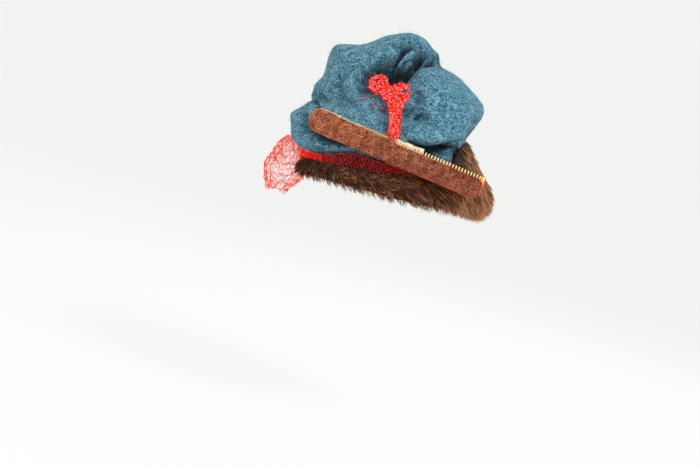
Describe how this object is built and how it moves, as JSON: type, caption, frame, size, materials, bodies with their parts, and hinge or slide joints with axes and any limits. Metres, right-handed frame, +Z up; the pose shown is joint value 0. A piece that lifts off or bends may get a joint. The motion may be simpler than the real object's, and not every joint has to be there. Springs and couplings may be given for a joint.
{
  "type": "felt hat",
  "caption": "Hollow draped felt hat with folded crown, fur band flared at one side, felt-covered comb across the front, red netting, puff and bow.",
  "frame": {"origin": "centre of the head opening, in the plane of the hat's rim", "axes": "+Z up out of the wearer's head, -Y the hat's front with the comb, +X to the right of someone who faces the front"},
  "size_m": [0.2463, 0.2293, 0.1935],
  "materials": {
    "wool_felt": "blue heathered wool felt, fuzzy and dull",
    "fur": "dark brown fur with paler tips",
    "red_netting": "bright red knotted net with a slight sheen",
    "orange_plastic": "glossy orange plastic",
    "brown_felt": "reddish brown felt",
    "white_padding": "off-white wadding"
  },
  "bodies": {
    "root": {"felt_crown": "wool_felt", "fur_band": "fur", "net_band": "red_netting", "net_puff": "red_netting", "net_bow": "red_netting", "comb": "orange_plastic", "comb_felt": "brown_felt", "glue_pad": "white_padding"}
  },
  "joints": []
}
